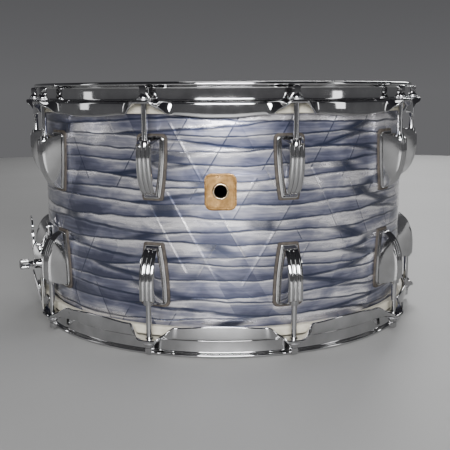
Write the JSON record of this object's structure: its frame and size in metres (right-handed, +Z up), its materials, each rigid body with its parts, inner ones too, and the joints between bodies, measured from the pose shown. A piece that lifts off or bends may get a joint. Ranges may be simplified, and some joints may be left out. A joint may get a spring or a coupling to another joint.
{
  "type": "snare drum",
  "caption": "Deep snare drum: blue pearl wood shell, chrome hoops with eared flanges, keystone lugs and tension rods, a throw-off strainer and snare wires under the lower head.",
  "frame": {"origin": "centre of the lower hoop's bead, on the plane the drum stands on", "axes": "+Z up along the shell's axis, -Y towards the badge, +X to its right"},
  "size_m": [0.3982, 0.382, 0.224],
  "materials": {
    "maple": "satin",
    "pearl": "gloss",
    "brass": "satin",
    "coated_film": "matte",
    "clear_film": "gloss",
    "aluminium": "satin",
    "wire_steel": "satin",
    "nylon": "satin",
    "chrome": "mirror"
  },
  "bodies": {
    "shell_assembly": {"shell": "maple", "wrap": "pearl", "badge": "brass", "vent_grommet": "brass", "batter_head": "coated_film", "snare_head": "clear_film", "lug_batter_1": "chrome", "lug_batter_2": "chrome", "lug_batter_3": "chrome", "lug_batter_4": "chrome", "lug_batter_5": "chrome", "lug_batter_6": "chrome", "lug_batter_7": "chrome", "lug_batter_8": "chrome", "lug_batter_9": "chrome", "lug_batter_10": "chrome", "lug_snare_1": "chrome", "lug_snare_2": "chrome", "lug_snare_3": "chrome", "lug_snare_4": "chrome", "lug_snare_5": "chrome", "lug_snare_6": "chrome", "lug_snare_7": "chrome", "lug_snare_8": "chrome", "lug_snare_9": "chrome", "lug_snare_10": "chrome", "snare_wires": "wire_steel", "strap_strainer": "nylon", "strap_butt": "nylon", "strainer_base": "chrome", "butt_base": "chrome", "butt_clamp": "chrome"},
    "batter_hoop_body": {"batter_hoop": "chrome", "batter_flesh_hoop": "aluminium"},
    "snare_hoop_body": {"snare_hoop": "chrome", "snare_flesh_hoop": "aluminium"},
    "batter_rod_1": {"rod_batter_1": "chrome"},
    "batter_rod_2": {"rod_batter_2": "chrome"},
    "batter_rod_3": {"rod_batter_3": "chrome"},
    "batter_rod_4": {"rod_batter_4": "chrome"},
    "batter_rod_5": {"rod_batter_5": "chrome"},
    "batter_rod_6": {"rod_batter_6": "chrome"},
    "batter_rod_7": {"rod_batter_7": "chrome"},
    "batter_rod_8": {"rod_batter_8": "chrome"},
    "batter_rod_9": {"rod_batter_9": "chrome"},
    "batter_rod_10": {"rod_batter_10": "chrome"},
    "snare_rod_1": {"rod_snare_1": "chrome"},
    "snare_rod_2": {"rod_snare_2": "chrome"},
    "snare_rod_3": {"rod_snare_3": "chrome"},
    "snare_rod_4": {"rod_snare_4": "chrome"},
    "snare_rod_5": {"rod_snare_5": "chrome"},
    "snare_rod_6": {"rod_snare_6": "chrome"},
    "snare_rod_7": {"rod_snare_7": "chrome"},
    "snare_rod_8": {"rod_snare_8": "chrome"},
    "snare_rod_9": {"rod_snare_9": "chrome"},
    "snare_rod_10": {"rod_snare_10": "chrome"},
    "lever": {"strainer_lever": "chrome"},
    "carriage": {"strainer_carriage": "chrome"},
    "clamp": {"strainer_clamp": "chrome"},
    "knob": {"strainer_knob": "chrome"}
  },
  "joints": [
    {"name": "batter_hoop_travel", "type": "slide", "parent": "shell_assembly", "child": "batter_hoop_body", "axis": [0, 0, -1], "range_m": [-0.00211, 0.00105]},
    {"name": "batter_rod_1_turn", "type": "hinge", "parent": "batter_hoop_body", "child": "batter_rod_1", "pos_m": [-0.05933, 0.1826, 0.2], "axis": [0, 0, -1], "range_deg": [-720, 360]},
    {"name": "batter_rod_2_turn", "type": "hinge", "parent": "batter_hoop_body", "child": "batter_rod_2", "pos_m": [-0.15533, 0.11285, 0.2], "axis": [0, 0, -1], "range_deg": [-720, 360]},
    {"name": "batter_rod_3_turn", "type": "hinge", "parent": "batter_hoop_body", "child": "batter_rod_3", "pos_m": [-0.192, 0, 0.2], "axis": [0, 0, -1], "range_deg": [-720, 360]},
    {"name": "batter_rod_4_turn", "type": "hinge", "parent": "batter_hoop_body", "child": "batter_rod_4", "pos_m": [-0.15533, -0.11285, 0.2], "axis": [0, 0, -1], "range_deg": [-720, 360]},
    {"name": "batter_rod_5_turn", "type": "hinge", "parent": "batter_hoop_body", "child": "batter_rod_5", "pos_m": [-0.05933, -0.1826, 0.2], "axis": [0, 0, -1], "range_deg": [-720, 360]},
    {"name": "batter_rod_6_turn", "type": "hinge", "parent": "batter_hoop_body", "child": "batter_rod_6", "pos_m": [0.05933, -0.1826, 0.2], "axis": [0, 0, -1], "range_deg": [-720, 360]},
    {"name": "batter_rod_7_turn", "type": "hinge", "parent": "batter_hoop_body", "child": "batter_rod_7", "pos_m": [0.15533, -0.11285, 0.2], "axis": [0, 0, -1], "range_deg": [-720, 360]},
    {"name": "batter_rod_8_turn", "type": "hinge", "parent": "batter_hoop_body", "child": "batter_rod_8", "pos_m": [0.192, 0, 0.2], "axis": [0, 0, -1], "range_deg": [-720, 360]},
    {"name": "batter_rod_9_turn", "type": "hinge", "parent": "batter_hoop_body", "child": "batter_rod_9", "pos_m": [0.15533, 0.11285, 0.2], "axis": [0, 0, -1], "range_deg": [-720, 360]},
    {"name": "batter_rod_10_turn", "type": "hinge", "parent": "batter_hoop_body", "child": "batter_rod_10", "pos_m": [0.05933, 0.1826, 0.2], "axis": [0, 0, -1], "range_deg": [-720, 360]},
    {"name": "snare_hoop_travel", "type": "slide", "parent": "shell_assembly", "child": "snare_hoop_body", "axis": [0, 0, 1], "range_m": [-0.00211, 0.00105]},
    {"name": "snare_rod_1_turn", "type": "hinge", "parent": "snare_hoop_body", "child": "snare_rod_1", "pos_m": [-0.05933, 0.1826, 0.024], "axis": [0, 0, 1], "range_deg": [-720, 360]},
    {"name": "snare_rod_2_turn", "type": "hinge", "parent": "snare_hoop_body", "child": "snare_rod_2", "pos_m": [-0.15533, 0.11285, 0.024], "axis": [0, 0, 1], "range_deg": [-720, 360]},
    {"name": "snare_rod_3_turn", "type": "hinge", "parent": "snare_hoop_body", "child": "snare_rod_3", "pos_m": [-0.192, 0, 0.024], "axis": [0, 0, 1], "range_deg": [-720, 360]},
    {"name": "snare_rod_4_turn", "type": "hinge", "parent": "snare_hoop_body", "child": "snare_rod_4", "pos_m": [-0.15533, -0.11285, 0.024], "axis": [0, 0, 1], "range_deg": [-720, 360]},
    {"name": "snare_rod_5_turn", "type": "hinge", "parent": "snare_hoop_body", "child": "snare_rod_5", "pos_m": [-0.05933, -0.1826, 0.024], "axis": [0, 0, 1], "range_deg": [-720, 360]},
    {"name": "snare_rod_6_turn", "type": "hinge", "parent": "snare_hoop_body", "child": "snare_rod_6", "pos_m": [0.05933, -0.1826, 0.024], "axis": [0, 0, 1], "range_deg": [-720, 360]},
    {"name": "snare_rod_7_turn", "type": "hinge", "parent": "snare_hoop_body", "child": "snare_rod_7", "pos_m": [0.15533, -0.11285, 0.024], "axis": [0, 0, 1], "range_deg": [-720, 360]},
    {"name": "snare_rod_8_turn", "type": "hinge", "parent": "snare_hoop_body", "child": "snare_rod_8", "pos_m": [0.192, 0, 0.024], "axis": [0, 0, 1], "range_deg": [-720, 360]},
    {"name": "snare_rod_9_turn", "type": "hinge", "parent": "snare_hoop_body", "child": "snare_rod_9", "pos_m": [0.15533, 0.11285, 0.024], "axis": [0, 0, 1], "range_deg": [-720, 360]},
    {"name": "snare_rod_10_turn", "type": "hinge", "parent": "snare_hoop_body", "child": "snare_rod_10", "pos_m": [0.05933, 0.1826, 0.024], "axis": [0, 0, 1], "range_deg": [-720, 360]},
    {"name": "lever_throw", "type": "hinge", "parent": "shell_assembly", "child": "lever", "pos_m": [-0.1788, -0.0581, 0.064], "axis": [0.309, -0.9511, 0], "range_deg": [0, 80]},
    {"name": "carriage_drop", "type": "slide", "parent": "shell_assembly", "child": "carriage", "axis": [0, 0, 1], "range_m": [-0.008, 0]},
    {"name": "knob_turn", "type": "hinge", "parent": "carriage", "child": "knob", "pos_m": [-0.19021, -0.0618, 0.0515], "axis": [-0.9511, -0.309, 0], "range_deg": [-1080, 1080]},
    {"name": "clamp_lift", "type": "slide", "parent": "carriage", "child": "clamp", "axis": [0, 0, 1], "range_m": [-0.0024, 0.0024]}
  ],
  "couplings": [
    {"joint": "batter_rod_1_turn", "follows": "batter_hoop_travel", "rad_per_m": 5938.7},
    {"joint": "batter_rod_2_turn", "follows": "batter_hoop_travel", "rad_per_m": 5938.7},
    {"joint": "batter_rod_3_turn", "follows": "batter_hoop_travel", "rad_per_m": 5938.7},
    {"joint": "batter_rod_4_turn", "follows": "batter_hoop_travel", "rad_per_m": 5938.7},
    {"joint": "batter_rod_5_turn", "follows": "batter_hoop_travel", "rad_per_m": 5938.7},
    {"joint": "batter_rod_6_turn", "follows": "batter_hoop_travel", "rad_per_m": 5938.7},
    {"joint": "batter_rod_7_turn", "follows": "batter_hoop_travel", "rad_per_m": 5938.7},
    {"joint": "batter_rod_8_turn", "follows": "batter_hoop_travel", "rad_per_m": 5938.7},
    {"joint": "batter_rod_9_turn", "follows": "batter_hoop_travel", "rad_per_m": 5938.7},
    {"joint": "batter_rod_10_turn", "follows": "batter_hoop_travel", "rad_per_m": 5938.7},
    {"joint": "snare_rod_1_turn", "follows": "snare_hoop_travel", "rad_per_m": 5938.7},
    {"joint": "snare_rod_2_turn", "follows": "snare_hoop_travel", "rad_per_m": 5938.7},
    {"joint": "snare_rod_3_turn", "follows": "snare_hoop_travel", "rad_per_m": 5938.7},
    {"joint": "snare_rod_4_turn", "follows": "snare_hoop_travel", "rad_per_m": 5938.7},
    {"joint": "snare_rod_5_turn", "follows": "snare_hoop_travel", "rad_per_m": 5938.7},
    {"joint": "snare_rod_6_turn", "follows": "snare_hoop_travel", "rad_per_m": 5938.7},
    {"joint": "snare_rod_7_turn", "follows": "snare_hoop_travel", "rad_per_m": 5938.7},
    {"joint": "snare_rod_8_turn", "follows": "snare_hoop_travel", "rad_per_m": 5938.7},
    {"joint": "snare_rod_9_turn", "follows": "snare_hoop_travel", "rad_per_m": 5938.7},
    {"joint": "snare_rod_10_turn", "follows": "snare_hoop_travel", "rad_per_m": 5938.7},
    {"joint": "lever_throw", "follows": "carriage_drop", "rad_per_m": -174.5},
    {"joint": "knob_turn", "follows": "clamp_lift", "rad_per_m": 7854}
  ]
}
